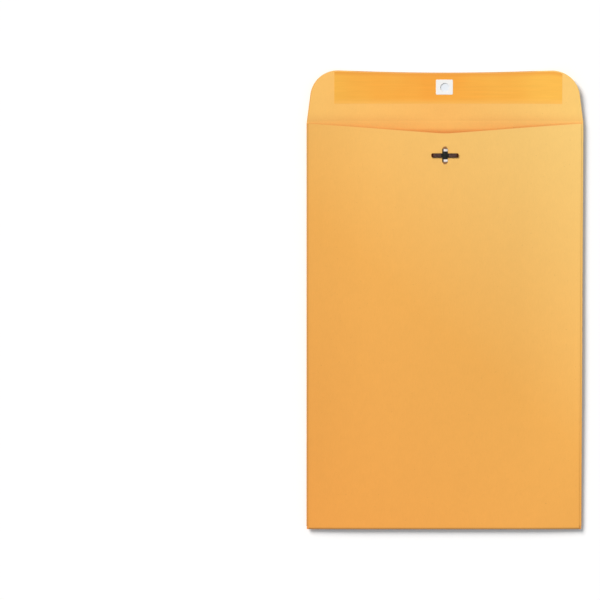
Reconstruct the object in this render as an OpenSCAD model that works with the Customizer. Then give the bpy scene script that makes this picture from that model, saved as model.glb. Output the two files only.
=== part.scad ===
// Clasp envelope for sheets of 10 x 15 inches, lying on its front with the flap opened out.
// X runs across the envelope, +Y from its bottom fold to the flap, +Z up from the table.
// The origin is the middle of the underside of the opened-out envelope.

/* [Sheet] */
// Width across the two side folds
body_w = 254; // [180:1:330]
// Length from the bottom fold to the flap's crease
body_h = 381; // [280:1:480]
// Thickness of the kraft paper
paper_t = 0.18; // [0.12:0.01:0.3]
// Space left inside a pressed fold
fold_gap = 0.12; // [0.06:0.01:0.4]
// Thickness of the glue between the side seams and the back panel
glue_t = 0.05; // [0.03:0.01:0.15]

/* [Seams and throat] */
// Width of each side seam, folded in under the back panel
seam_w = 25; // [12:1:40]
// Distance from a side fold to the back panel's cut edge
seam_inset = 2; // [1:0.5:6]
// Slant of the side seams' cut ends, in degrees
seam_slant = 20; // [5:1:40]
// Clear length between a seam's end and the next fold
seam_clear = 3; // [1.5:0.5:8]
// Slope of the throat's two flanks, in degrees
throat_angle = 4.1; // [1:0.1:8]
// Radius that joins the throat's flanks at the middle
throat_r = 80; // [40:5:300]
// Distance from the crease to the throat's ends
throat_step = 1.8; // [0.3:0.1:6]
// Height to which the mouth stands open at the middle
gape = 6; // [5.2:0.2:14]

/* [Flap] */
// Height of the flap above its crease, at the corners
flap_h = 47; // [42:1:60]
// Radius of the flap's corners
flap_r = 25; // [8:1:30]
// How far each side of the flap has come in at its corner
flap_taper = 3.3; // [1:0.1:12]
// How far the middle of the flap's edge lies below its corners
flap_sweep = 2.2; // [0.4:0.2:3]
// Depth of the crease pressed into the flap's inner side
crease_depth = 0.06; // [0.02:0.01:0.08]
// Width of that crease
crease_w = 0.8; // [0.4:0.1:2]

/* [Gum] */
// Length of the gummed band along the flap
gum_w = 209; // [140:1:216]
// How far the band's middle lies to the right of the flap's
gum_shift = 3; // [-4:0.5:4]
// Distance from the crease to the gummed band
gum_start = 16; // [6:0.5:22]
// Bare margin between the gum and the flap's edge
gum_margin = 1.2; // [0.4:0.1:4]
// Thickness of the dried gum
gum_t = 0.04; // [0.02:0.01:0.08]

/* [Clasp hole and patch] */
// Diameter of the hole in the flap
hole_d = 8.5; // [7.5:0.1:10]
// Distance from the flap's edge at the corners down to the hole's middle
hole_drop = 16; // [13:0.5:18]
// Width of the reinforcing patch
patch_w = 15.4; // [12:0.2:20]
// Height of the reinforcing patch
patch_h = 13.8; // [12:0.2:18]
// How far the patch's middle lies above the hole's
patch_shift = 0.4; // [0:0.1:1.5]
// How far the patch's middle lies to the left of the hole's
patch_aside = 0.6; // [0:0.1:1.5]
// Thickness of the patch
patch_t = 0.12; // [0.08:0.01:0.2]
// Radius of the patch's corners
patch_r = 0.8; // [0.2:0.1:2]
// Clearance between the patch and the gum round it
patch_gap = 0.4; // [0.2:0.1:1]

/* [Clasp] */
// Thickness of the tinplate
tin_t = 0.3; // [0.2:0.01:0.4]
// Width of the anchor plate
anchor_w = 5; // [4:0.1:7]
// Length of the anchor plate, bent ends included
anchor_l = 16.8; // [14:0.2:22]
// Width of the tongues bent through the paper
tongue_w = 2.6; // [2:0.1:3.6]
// Length of the clinched part of a tongue
tongue_l = 2.6; // [1:0.1:4]
// Width of the raised bridge between the prongs
bridge_w = 4; // [3.2:0.1:4.6]
// Length of the bridge
bridge_l = 5.8; // [5:0.1:9]
// Height of the bridge above the anchor plate
bridge_h = 0.9; // [0.6:0.1:1.4]
// Width of a prong
prong_w = 4; // [3:0.1:4.6]
// Distance from the clasp's middle to a prong's tip
prong_reach = 12.5; // [9:0.1:16]
// Radius of the corners of a prong's tip
prong_tip_r = 1.3; // [0.5:0.1:1.5]
// Radius of the rolled root that a prong turns on
root_r = 0.3; // [0.22:0.01:0.4]
// Radius of the stiffening bead along a prong
bead_r = 0.45; // [0.3:0.01:0.6]
// Length of that bead
bead_l = 6; // [3:0.1:6.5]
// Clearance round the moving and clinched metal
clasp_gap = 0.1; // [0.05:0.01:0.2]

/* [Hidden] */
$fn = 64;

kraft = "sandybrown";
gummed = "orange";
patch_paper = "whitesmoke";
tinplate = "slategray";

// Overrun of a cut past the face it opens
cut = 1;
// Facets of the flap's wide, nearly straight edge arc, and the level stretch from its ends to the corners
sweep_fn = 720;
sweep_end = 1;

// A pressed fold is half a ring: its inner and outer radii at the sides and at the bottom
side_ri = fold_gap / 2;
side_ro = side_ri + paper_t;
bottom_ri = (fold_gap + paper_t + glue_t) / 2;
bottom_ro = bottom_ri + paper_t;

// Half widths of the flat front panel and of the back panel
front_x = body_w / 2 - side_ro;
back_x = body_w / 2 - seam_inset;

// Lower faces of the side seams and of the back panel, before the mouth's gape is added
seam_z = paper_t + fold_gap;
back_z = seam_z + paper_t + glue_t;

// Side seams end short of the crease and of the bottom fold
seam_top = body_h - seam_clear / 2;
seam_bottom = seam_clear;

// The hole lies as far above the crease as the clasp lies below it, so that they meet when it is shut
hole_rise = flap_h - hole_drop;
clasp_y = body_h - hole_rise;

// Clasp: the level patch of paper under it, and its heights
seat_x = anchor_w / 2 + 2;
seat_margin = 4;
gape_y = clasp_y - anchor_l / 2 - seat_margin;
seat_z = back_z + paper_t + gape * (1 - pow(seat_x / front_x, 2));
anchor_top = seat_z + tin_t;
root_x = bridge_w / 2 + clasp_gap + root_r;
root_z = anchor_top + clasp_gap + root_r;
bridge_r = (pow(bridge_w / 2, 2) + pow(bridge_h, 2)) / (2 * bridge_h);

// A tongue bends round the paper at the slot's outer edge
bend_ri = (paper_t + clasp_gap) / 2;
bend_ro = bend_ri + tin_t;
bend_y = anchor_l / 2 - bend_ro;

// Flap: middle of a corner's arc, where the slanting side meets it, and the radius of the edge's sweep
corner_x = body_w / 2 - flap_taper - flap_r;
corner_y = flap_h - flap_r;
side_run = norm([front_x - corner_x, corner_y]);
side_angle = atan2(corner_y, corner_x - front_x) - asin(flap_r / side_run);
side_length = sqrt(pow(side_run, 2) - pow(flap_r, 2));
tangent_x = front_x + side_length * cos(side_angle);
tangent_y = side_length * sin(side_angle);
sweep_x = corner_x - sweep_end;
sweep_r = (pow(sweep_x, 2) + pow(flap_sweep, 2)) / (2 * flap_sweep);

// Cells of the folded sheet across its seams, folds and panel, and down its panels
seam_cells = 3;
fold_cells = 4;
half_cells = 12;
body_rows = 10;
back_rows = 11;
mouth_rows = 2;

// Columns and rows at which the sheet passes from one part to the next
fold_1 = seam_cells;
panel_1 = fold_1 + fold_cells;
panel_2 = panel_1 + 2 * half_cells + 1;
fold_2 = panel_2 + fold_cells;
last_col = fold_2 + seam_cells;
seam_row_1 = 1;
seam_row_2 = seam_row_1 + body_rows;
turn_row_1 = seam_row_2 + 1;
turn_row_2 = turn_row_1 + fold_cells;
gape_row = turn_row_2 + back_rows;
last_row = gape_row + mouth_rows;

function mix(a, b, share) = a + (b - a) * share;

// Height that the gape adds at a point: an arch across the envelope that fades to the bottom fold
function arch(x, y) = gape * (1 - pow(x / front_x, 2)) * (1 - pow(1 - min(y / gape_y, 1), 2));

// The throat's edge: two straight flanks joined by an arc
function throat_y(x) =
    let (
        flank = back_x * tan(throat_angle),
        depth = abs(x) > throat_r * sin(throat_angle)
            ? flank - abs(x) * tan(throat_angle)
            : flank - throat_r / cos(throat_angle) + sqrt(pow(throat_r, 2) - pow(x, 2))
    )
    body_h - throat_step - depth;

// Place across the panel of a grid line, with one level cell in the middle for the clasp
function panel_x(i) =
    let (n = i - panel_1)
    n <= half_cells
        ? mix(-front_x, -seat_x, n / half_cells)
        : mix(seat_x, front_x, (n - half_cells - 1) / half_cells);

// Place along Y of a grid line on the front panel
function front_y(j) =
    j < seam_row_1 ? body_h
    : j <= seam_row_2 ? mix(seam_top, seam_bottom, (j - seam_row_1) / body_rows)
    : bottom_ro;

// A point of a side seam: side is -1 or 1, reach its distance from the fold
function seam_point(side, reach, j, face) =
    let (
        slant = reach * tan(seam_slant),
        share = (j - seam_row_1) / body_rows,
        x = side * (front_x - reach),
        y = mix(seam_top - slant, seam_bottom + slant, share)
    )
    [x, y, seam_z + face * paper_t + arch(x, y)];

// A point of a side fold: turn runs from 0 at the front panel to 1 at the seam
function fold_point(side, turn, j, face) =
    let (r = face ? side_ro : side_ri, a = 180 * turn - 90)
    [side * (front_x + r * cos(a)), front_y(j), side_ro + r * sin(a)];

// A point of the bottom fold, where the sheet narrows to the back panel's width
function turn_point(i, j, face) =
    let (
        turn = (j - turn_row_1) / fold_cells,
        r = face ? bottom_ro : bottom_ri,
        a = 180 * turn - 90
    )
    [panel_x(i) * mix(1, back_x / front_x, turn), bottom_ro - r * cos(a), bottom_ro + r * sin(a)];

// A point of the back panel
function back_point(i, j, face) =
    let (
        x = panel_x(i) * back_x / front_x,
        y = j <= gape_row
            ? mix(bottom_ro, gape_y, (j - turn_row_2) / back_rows)
            : mix(gape_y, throat_y(x), (j - gape_row) / mouth_rows)
    )
    [x, y, back_z + face * paper_t + arch(x, y)];

// A point of the folded sheet at a column, a row and a face: 1 outside, 0 inside
function sheet_point(i, j, face) =
    j > turn_row_2 ? back_point(i, j, face)
    : j > turn_row_1 ? turn_point(i, j, face)
    : i < fold_1 ? seam_point(-1, seam_w * (fold_1 - i) / seam_cells, j, face)
    : i < panel_1 ? fold_point(-1, (panel_1 - i) / fold_cells, j, face)
    : i <= panel_2 ? [panel_x(i), front_y(j), face ? 0 : paper_t]
    : i <= fold_2 ? fold_point(1, (i - panel_2) / fold_cells, j, face)
    : seam_point(1, seam_w * (i - fold_2) / seam_cells, j, face);

// Is there paper in this cell of the blank?
function has_paper(i, j) =
    i >= 0 && i < last_col && j >= 0 && j < last_row
    && ((i >= panel_1 && i < panel_2) || (j >= seam_row_1 && j < seam_row_2));

function point_index(p, face) = (p[1] * (last_col + 1) + p[0]) * 2 + face;

// The sheet's edge between two neighbouring grid points
function edge_faces(p, q) = [
    [point_index(p, 1), point_index(q, 1), point_index(q, 0)],
    [point_index(p, 1), point_index(q, 0), point_index(p, 0)]
];

// The faces of one cell: both sides of the paper, and an edge wherever no neighbour follows
function cell_faces(i, j) =
    let (a = [i, j], b = [i + 1, j], c = [i + 1, j + 1], d = [i, j + 1])
    concat(
        [
            [point_index(a, 1), point_index(d, 1), point_index(c, 1)],
            [point_index(a, 1), point_index(c, 1), point_index(b, 1)],
            [point_index(a, 0), point_index(b, 0), point_index(c, 0)],
            [point_index(a, 0), point_index(c, 0), point_index(d, 0)]
        ],
        has_paper(i, j - 1) ? [] : edge_faces(a, b),
        has_paper(i + 1, j) ? [] : edge_faces(b, c),
        has_paper(i, j + 1) ? [] : edge_faces(c, d),
        has_paper(i - 1, j) ? [] : edge_faces(d, a)
    );

// Moves a piece from the envelope's bottom fold to the part's origin
module in_place() {
    translate([0, -(body_h + flap_h) / 2, 0]) children();
}

// Moves a piece from the clasp's middle to its place on the back panel
module at_clasp() {
    in_place() translate([0, clasp_y, 0]) children();
}

// The body of the envelope, folded from one sheet: front, side seams, bottom fold and back
module folded_body() {
    polyhedron(
        points = [
            for (j = [0:last_row]) for (i = [0:last_col]) for (face = [0, 1])
                sheet_point(i, j, face)
        ],
        faces = [
            for (j = [0:last_row - 1]) for (i = [0:last_col - 1]) if (has_paper(i, j))
                each cell_faces(i, j)
        ]
    );
}

// The flap's outline above the crease
module flap_outline() {
    difference() {
        union() {
            polygon([
                [-front_x, 0],
                [front_x, 0],
                [tangent_x, tangent_y],
                [corner_x, corner_y],
                [corner_x, flap_h],
                [-corner_x, flap_h],
                [-corner_x, corner_y],
                [-tangent_x, tangent_y]
            ]);
            for (side = [-1, 1]) translate([side * corner_x, corner_y]) circle(flap_r);
        }
        translate([0, flap_h - flap_sweep + sweep_r]) circle(sweep_r, $fn = sweep_fn);
    }
}

// The flap, with its punched hole and the crease it folds along
module flap() {
    translate([0, body_h, 0]) difference() {
        linear_extrude(paper_t) difference() {
            flap_outline();
            translate([0, hole_rise]) circle(d = hole_d);
        }
        translate([-body_w / 2 - cut, crease_w, paper_t])
            rotate([90, 0, 90])
                linear_extrude(body_w + 2 * cut)
                    polygon([[-crease_w / 2, 0], [0, -crease_depth], [crease_w / 2, 0]]);
    }
}

// The two slots that the clasp's tongues pass through
module tongue_slots() {
    slot_w = tongue_w + 2 * clasp_gap;
    for (side = [0, 180]) rotate([0, 0, side])
        translate([-slot_w / 2, bend_y - clasp_gap, seat_z - paper_t - cut])
            cube([slot_w, bend_ro + 2 * clasp_gap, paper_t + 2 * cut]);
}

module envelope() {
    color(kraft) in_place() difference() {
        union() {
            folded_body();
            flap();
        }
        translate([0, clasp_y, 0]) tongue_slots();
    }
}

// The band of dried gum, with a window round the patch
module flap_gum() {
    color(gummed) in_place() translate([0, body_h, paper_t]) linear_extrude(gum_t) difference() {
        intersection() {
            translate([0, -gum_margin]) flap_outline();
            translate([gum_shift - gum_w / 2, gum_start]) square([gum_w, flap_h]);
        }
        translate([-patch_aside, hole_rise + patch_shift])
            square([patch_w + 2 * patch_gap, patch_h + 2 * patch_gap], center = true);
    }
}

// A rectangle about its middle with rounded corners
module rounded_rectangle(w, h, r) {
    square([w - 2 * r, h], center = true);
    square([w, h - 2 * r], center = true);
    for (x = [-1, 1]) for (y = [-1, 1]) translate([x * (w / 2 - r), y * (h / 2 - r)]) circle(r);
}

// The patch that strengthens the flap's hole
module hole_patch() {
    color(patch_paper) in_place() translate([0, body_h + hole_rise, paper_t])
        linear_extrude(patch_t) difference() {
            translate([-patch_aside, patch_shift]) rounded_rectangle(patch_w, patch_h, patch_r);
            circle(d = hole_d);
        }
}

// Side view of a tongue: off the plate's end, round the paper and back along its inner side
module tongue_profile() {
    difference() {
        circle(bend_ro);
        circle(bend_ri);
        translate([-2 * bend_ro, -bend_ro - cut]) square([2 * bend_ro, 2 * (bend_ro + cut)]);
    }
    translate([-tin_t, bend_ri]) square([tin_t, tin_t]);
    translate([-tongue_l, -bend_ro]) square([tongue_l, tin_t]);
}

// The anchor plate with its bridge, clinched through the back panel by a tongue at each end
module clasp_anchor() {
    color(tinplate) at_clasp() {
        translate([0, 0, seat_z]) linear_extrude(tin_t)
            rounded_rectangle(anchor_w, 2 * bend_y, anchor_w / 2 - clasp_gap);
        translate([0, 0, anchor_top]) intersection() {
            translate([0, 0, bridge_h - bridge_r])
                rotate([90, 0, 0])
                    cylinder(r = bridge_r, h = bridge_l, center = true);
            translate([-bridge_w, -bridge_l, -tin_t]) cube([2 * bridge_w, 2 * bridge_l, 2 * bridge_h]);
        }
        for (side = [0, 180]) rotate([0, 0, side])
            translate([-tongue_w / 2, bend_y, seat_z - bend_ri])
                rotate([90, 0, 90])
                    linear_extrude(tongue_w)
                        tongue_profile();
    }
}

// A prong lying flat and pointing along +X, about the axis of its root
module prong() {
    reach = prong_reach - root_x;
    rotate([90, 0, 0]) cylinder(r = root_r, h = prong_w - 2 * clasp_gap, center = true);
    translate([0, 0, -tin_t / 2]) linear_extrude(tin_t) {
        translate([0, -prong_w / 2 + clasp_gap]) square([root_r + clasp_gap, prong_w - 2 * clasp_gap]);
        translate([root_r, -prong_w / 2]) square([reach - root_r - prong_tip_r, prong_w]);
        translate([reach - prong_tip_r, 0]) square([2 * prong_tip_r, prong_w - 2 * prong_tip_r], center = true);
        for (side = [-1, 1])
            translate([reach - prong_tip_r, side * (prong_w / 2 - prong_tip_r)]) circle(prong_tip_r);
    }
    translate([(reach - bead_l) / 2, 0, 0]) difference() {
        union() {
            rotate([0, 90, 0]) cylinder(r = bead_r, h = bead_l);
            for (end = [0, bead_l]) translate([end, 0, 0]) sphere(bead_r);
        }
        translate([-2 * bead_r, -bead_r - cut, -bead_r - cut])
            cube([bead_l + 4 * bead_r, 2 * (bead_r + cut), bead_r + cut]);
    }
}

module clasp_prong_left() {
    color(tinplate) at_clasp() mirror([1, 0, 0]) translate([root_x, 0, root_z]) prong();
}

module clasp_prong_right() {
    color(tinplate) at_clasp() translate([root_x, 0, root_z]) prong();
}

envelope();
flap_gum();
hole_patch();
clasp_anchor();
clasp_prong_left();
clasp_prong_right();
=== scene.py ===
"""Kraft clasp envelope for sheets of 10 x 15 inches, lying on its front with the flap opened out.

X runs across the envelope, +Y from its bottom fold to the flap, +Z up from the table, in metres.
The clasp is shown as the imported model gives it, with a finer finish and the metal that joins its
prongs to its bridge. The folded sheet, the dried gum and the hole's patch are modelled again here,
with the lift, the waves and the creases of real paper.
"""

import logging
import math
from collections.abc import Callable
from dataclasses import dataclass
from enum import Enum
from functools import partial

import bmesh
import bpy
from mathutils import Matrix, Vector, noise


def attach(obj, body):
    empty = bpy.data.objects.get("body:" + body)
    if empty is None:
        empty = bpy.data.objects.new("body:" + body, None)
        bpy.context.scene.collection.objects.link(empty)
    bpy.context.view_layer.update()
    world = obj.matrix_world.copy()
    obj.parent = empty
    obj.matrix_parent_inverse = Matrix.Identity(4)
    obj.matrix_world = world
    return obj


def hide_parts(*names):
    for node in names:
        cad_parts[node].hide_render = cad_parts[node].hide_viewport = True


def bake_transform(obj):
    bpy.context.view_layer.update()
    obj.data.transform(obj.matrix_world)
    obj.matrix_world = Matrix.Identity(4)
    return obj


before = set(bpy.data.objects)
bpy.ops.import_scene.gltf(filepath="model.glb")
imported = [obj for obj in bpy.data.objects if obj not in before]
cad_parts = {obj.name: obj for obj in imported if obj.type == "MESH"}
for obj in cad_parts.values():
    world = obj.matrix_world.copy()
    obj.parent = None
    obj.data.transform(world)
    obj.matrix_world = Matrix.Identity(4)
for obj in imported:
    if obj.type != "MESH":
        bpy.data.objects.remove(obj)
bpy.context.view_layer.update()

MM = 0.001
LOG = logging.getLogger("clasp_envelope")
# Vertex values: on the sheet the painted shade, 1 inside the pocket and 0 in the open, and how
# much darker its folds are painted, on the gum 1 at its upper edge
SHADED = "shaded_by_the_pocket"
DARKER_FOLDS = "burnished_at_the_folds"
UP_BAND = "way_up_the_band"
# Most of a noise pattern lies in this range
NOISE_RANGE = {"From Min": 0.25, "From Max": 0.75}
# Slack for rounding where places or counts are compared
ROUNDING = 1e-6
# A bend sharper than this is a cut edge
SHARP = math.radians(42)

Colour = tuple[float, float, float, float]
Key = str | int
Source = bpy.types.Node | bpy.types.NodeSocket
Adder = Callable[..., bpy.types.Node]


class Side(Enum):
    """The two sides of the envelope, as the sign of X."""

    LEFT = -1
    RIGHT = 1


class Zone(Enum):
    """The parts of the folded sheet that a line of its grid can lie in."""

    FLAP = "flap"
    FRONT = "front panel"
    TURN = "bottom fold"
    BACK = "back panel"
    PANEL = "between the side folds"
    FOLD = "side fold"
    SEAM = "side seam"


def linear(colour: str) -> Colour:
    """Turn an sRGB colour of six hex digits into linear light with a full alpha."""
    shares = [int(colour[k:k + 2], 16) / 255 for k in (0, 2, 4)]
    return *(s / 12.92 if s <= 0.04045 else ((s + 0.055) / 1.055) ** 2.4 for s in shares), 1.0


def mix(a: float, b: float, share: float) -> float:
    """Return the value that lies at a share of the way from a to b."""
    return a + (b - a) * share


def smooth(value: float, low: float, high: float) -> float:
    """Return a share that eases from 0 where the value is low to 1 where it is high."""
    share = min(max((value - low) / (high - low), 0.0), 1.0)
    return share * share * (3 - 2 * share)


def steps(start: float, end: float, size: float) -> list[float]:
    """List the starts of even steps, no longer than a size, that lead from start to end."""
    count = math.ceil(abs(end - start) / size - ROUNDING)
    return [mix(start, end, k / count) for k in range(count)]


def add_node(
    tree: bpy.types.NodeTree,
    kind: str,
    settings: dict[Key, object] | None = None,
    links: dict[Key, Source] | None = None,
) -> bpy.types.Node:
    """Add a node with its settings and links.

    Args:
        tree: The node tree that gets the node.
        kind: The node's type without its first part, such as TexNoise for ShaderNodeTexNoise.
        settings: Values by the name of a property, or by the name or number of an input.
        links: What feeds an input, by its name or number: a socket, or a node's first used output.

    Returns:
        The new node.
    """
    node = tree.nodes.new("ShaderNode" + kind)
    for key, value in (settings or {}).items():
        if isinstance(key, str) and hasattr(node, key):
            setattr(node, key, value)
        else:
            node.inputs[key].default_value = value
    for key, source in (links or {}).items():
        if isinstance(source, bpy.types.Node):
            source = next(output for output in source.outputs if output.enabled)
        tree.links.new(source, node.inputs[key])
    return node


def start_nodes(owner: bpy.types.Material | bpy.types.World) -> Adder:
    """Empty the node tree of a material or a world.

    Args:
        owner: The material or the world.

    Returns:
        What adds a node to that tree.
    """
    owner.use_nodes = True
    owner.node_tree.nodes.clear()
    return partial(add_node, owner.node_tree)


def distance_from(add: Adder, middle: float, place: Source) -> bpy.types.Node:
    """Add the nodes that tell how far a place along one axis is from a middle."""
    off = add("Math", {"operation": "SUBTRACT", 1: middle}, {0: place})
    return add("Math", {"operation": "ABSOLUTE"}, {0: off})


def draw_grain(
    add: Adder, place: Source, grain: tuple[float, float, float], **settings: float
) -> bpy.types.Node:
    """Add the nodes that draw a pattern stretched along the material: fibres, streaks or lines."""
    stretched = add("Mapping", {"Scale": tuple(1 / size for size in grain)}, {0: place})
    return add("TexNoise", {"Scale": 1.0, "Detail": 3.0, **settings}, {0: stretched})


def spread(middle: float, play: float) -> dict[Key, object]:
    """Give the range, with as much play on either side of a middle, that a pattern is turned into."""
    return {"To Min": middle - play, "To Max": middle + play}


def close_material(
    add: Adder,
    pattern: Source,
    relief: dict[Key, object],
    settings: dict[Key, object],
    links: dict[Key, Source],
) -> None:
    """End a material with the relief of its finest pattern, its shader and its output.

    Args:
        add: Adds a node to the material.
        pattern: The pattern that stands out from the surface.
        relief: The relief's strength and distance.
        settings: The shader's inputs that are the same all over.
        links: What feeds its other inputs.
    """
    bump = add("Bump", relief, {"Height": pattern})
    shader = add("BsdfPrincipled", settings, {**links, "Normal": bump})
    add("OutputMaterial", links={0: shader})


def paint(piece: bpy.types.Object, materials: list[bpy.types.Material]) -> None:
    """Give a modelled piece its materials, in the slots that its faces already point to.

    Args:
        piece: The piece.
        materials: The materials, in the order of its slots.
    """
    slots = piece.data.materials
    while len(slots) < len(materials):
        slots.append(None)
    for number, material in enumerate(materials):
        slots[number] = material


def new_piece(name: str, mesh: bmesh.types.BMesh) -> bpy.types.Object:
    """Turn a finished mesh into an object of the scene.

    Args:
        name: The piece's name.
        mesh: The mesh, which is freed.

    Returns:
        The object, at the origin.
    """
    data = bpy.data.meshes.new(name)
    mesh.to_mesh(data)
    mesh.free()
    piece = bpy.data.objects.new(name, data)
    bpy.context.scene.collection.objects.link(piece)
    return piece


def thicken(piece: bpy.types.Object, thickness: float, slots: int = 1) -> None:
    """Turn a middle surface into a sheet of even thickness, smooth apart from its cut edges.

    Args:
        piece: The object that holds the middle surface.
        thickness: The sheet's thickness.
        slots: 3 where the far side and the cut edges have materials of their own, else 1.
    """
    for _ in range(slots):
        piece.data.materials.append(None)
    solid = piece.modifiers.new("thickness", "SOLIDIFY")
    solid.thickness = thickness
    solid.offset = 0
    solid.use_even_offset = True
    solid.material_offset = 1 if slots == 3 else 0
    solid.material_offset_rim = 2 if slots == 3 else 0
    ready = piece.evaluated_get(bpy.context.evaluated_depsgraph_get())
    data = bpy.data.meshes.new_from_object(ready)
    piece.modifiers.clear()
    piece.data = data
    data.shade_smooth()
    data.set_sharp_from_angle(angle=SHARP)


@dataclass(frozen=True)
class KraftPaper:
    """Golden kraft paper, pressed smooth between rollers: matt, with fibres and faint clouds."""

    name: str
    deep: str
    middle: str
    pale: str
    roughness: float = 0.66
    roughness_play: float = 0.05
    # Pulp fibres are 0.03 mm wide and would not show: they are drawn at 0.7 mm, in bundles
    fibre_w: float = 0.7 * MM
    fibre_l: float = 4.5 * MM
    fibre_tone: float = 0.02
    relief: float = 0.02 * MM
    # Clouds where the pulp settled more thickly
    cloud: float = 9 * MM
    cloud_tone: float = 0.012
    # Specks of bark: their colour and size, the noise where one starts and is full, and its depth
    bark: str = "8A5220"
    speck: float = 1.6 * MM
    speck_from: float = 0.74
    speck_full: float = 0.82
    speck_tone: float = 0.2
    # How the painted light turns the tone from deep to pale: over the width, over the length, and its
    # middle
    turn_across: float = 0.31
    turn_along: float = 0.58
    turn_middle: float = 0.54
    # A darker colour painted in where a vertex value is high, if it has one, and that vertex value
    darker_colour: str = ""
    darker_by: str = SHADED

    def material(self, across: float, along: float) -> bpy.types.Material:
        """Build the paper's material.

        Args:
            across: The sheet's width.
            along: The sheet's length.

        Returns:
            The material.
        """
        material = bpy.data.materials.new(self.name)
        add = start_nodes(material)
        place = add("TexCoord").outputs["Object"]
        axes = add("SeparateXYZ", links={0: place}).outputs
        # Painted light: the tone turns slowly from deep to pale over the sheet, paler where more light
        # falls
        height = add(
            "Math", {"operation": "MULTIPLY_ADD", 1: self.turn_along / along, 2: self.turn_middle},
            {0: axes["Y"]},
        )
        tone = add(
            "Math", {"operation": "MULTIPLY_ADD", 1: self.turn_across / across},
            {0: axes["X"], 2: height},
        )
        lower = add("MapRange", {"From Max": 0.5}, {0: tone})
        upper = add("MapRange", {"From Min": 0.5}, {0: tone})
        base = add("Mix", {"data_type": "RGBA", 6: linear(self.deep), 7: linear(self.middle)}, {0: lower})
        base = add("Mix", {"data_type": "RGBA", 7: linear(self.pale)}, {0: upper, 6: base})
        # Painted shade, or a darker line, where the vertex value is high
        if self.darker_colour:
            darker_share = add("Attribute", {"attribute_name": self.darker_by}).outputs["Fac"]
            base = add("Mix", {"data_type": "RGBA", 7: linear(self.darker_colour)}, {0: darker_share, 6: base})
        # Fibres lie along the length, as the paper machine draws them
        grain = (self.fibre_w, self.fibre_l, self.fibre_w)
        fibres = draw_grain(add, place, grain, Roughness=0.6, Distortion=0.6)
        clouds = add("TexNoise", {"Scale": 1 / self.cloud, "Detail": 2.0}, {0: place})
        fibre_shade = add("MapRange", {**NOISE_RANGE, **spread(0, self.fibre_tone)}, {0: fibres})
        cloud_shade = add("MapRange", {**NOISE_RANGE, **spread(1, self.cloud_tone)}, {0: clouds})
        shade = add("Math", {"operation": "ADD"}, {0: fibre_shade, 1: cloud_shade})
        toned = add("HueSaturation", links={"Color": base, "Value": shade})
        # A few specks of bark stay in unbleached pulp
        grains = add("TexNoise", {"Scale": 1 / self.speck, "Detail": 1.0}, {0: place})
        specks = add(
            "MapRange",
            {"From Min": self.speck_from, "From Max": self.speck_full, "To Max": self.speck_tone},
            {0: grains},
        )
        speckled = add("Mix", {"data_type": "RGBA", 7: linear(self.bark)}, {0: specks, 6: toned})
        # Where fibres stand out the surface is rubbed smoother
        rough = add("MapRange", spread(self.roughness, -self.roughness_play), {0: fibres})
        close_material(
            add, fibres, {"Strength": 0.6, "Distance": self.relief},
            {"IOR": 1.5, "Specular IOR Level": 0.4}, {"Base Color": speckled, "Roughness": rough},
        )
        return material


@dataclass(frozen=True)
class DriedGum:
    """Remoistenable gum, rolled on wet and dried: a thin glossy film that deepens the paper's colour."""

    name: str = "remoistenable gum, rolled on and dried"
    red: str = "F6A63B"
    yellow: str = "F7B94B"
    thin: str = "F9BA59"
    thick: str = "EC9A3C"
    roughness: float = 0.5
    roughness_play: float = 0.08
    # Where the band is reddest, and how far off it has turned yellow
    red_x: float = -15 * MM
    red_w: float = 120 * MM
    # The film is at its full depth this far above the band's lower edge, and at none this far below
    thin_h: float = 6 * MM
    thin_below: float = 2 * MM
    # The rollers leave a thicker bead along the upper edge: its share of the band, and its depth
    bead: float = 0.13
    bead_tone: float = 0.8
    # Streaks that the rollers leave along the band, and patches where the film is thicker
    streak_l: float = 45 * MM
    streak_w: float = 1.8 * MM
    patch: float = 38 * MM
    streak_tone: float = 0.03
    relief: float = 0.015 * MM

    def material(self, low_y: float) -> bpy.types.Material:
        """Build the gum's material.

        Args:
            low_y: Place of the band's lower edge along Y.

        Returns:
            The material.
        """
        material = bpy.data.materials.new(self.name)
        add = start_nodes(material)
        place = add("TexCoord").outputs["Object"]
        axes = add("SeparateXYZ", links={0: place}).outputs
        patches = add("TexNoise", {"Scale": 1 / self.patch, "Detail": 1.0}, {0: place})
        away = distance_from(add, self.red_x, axes["X"])
        turn = add("Math", {"operation": "MULTIPLY_ADD", 1: 1 / self.red_w}, {0: away, 2: patches})
        # The patches bring 0.5 on average
        share = add("MapRange", {"From Min": 0.5, "From Max": 1.5}, {0: turn})
        base = add("Mix", {"data_type": "RGBA", 6: linear(self.red), 7: linear(self.yellow)}, {0: share})
        way_up = add("Attribute", {"attribute_name": UP_BAND}).outputs["Fac"]
        beaded = add("MapRange", {"From Min": 1 - self.bead, "To Max": self.bead_tone}, {0: way_up})
        base = add("Mix", {"data_type": "RGBA", 7: linear(self.thick)}, {0: beaded, 6: base})
        # The film is thinner towards its lower edge, and lets the paper's paler colour through
        cover = add(
            "MapRange",
            {
                "interpolation_type": "SMOOTHSTEP",
                "From Min": low_y - self.thin_below,
                "From Max": low_y + self.thin_h,
            },
            {0: axes["Y"]},
        )
        base = add("Mix", {"data_type": "RGBA", 6: linear(self.thin)}, {0: cover, 7: base})
        streaks = draw_grain(add, place, (self.streak_l, self.streak_w, self.streak_w))
        shade = add("MapRange", {**NOISE_RANGE, **spread(1, self.streak_tone)}, {0: streaks})
        toned = add("HueSaturation", links={"Color": base, "Value": shade})
        rough = add("MapRange", spread(self.roughness, self.roughness_play), {0: streaks})
        close_material(
            add, streaks, {"Strength": 0.5, "Distance": self.relief},
            {"IOR": 1.48, "Specular IOR Level": 0.32, "Coat Weight": 0.04, "Coat Roughness": 0.4},
            {"Base Color": toned, "Roughness": rough},
        )
        return material


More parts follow.
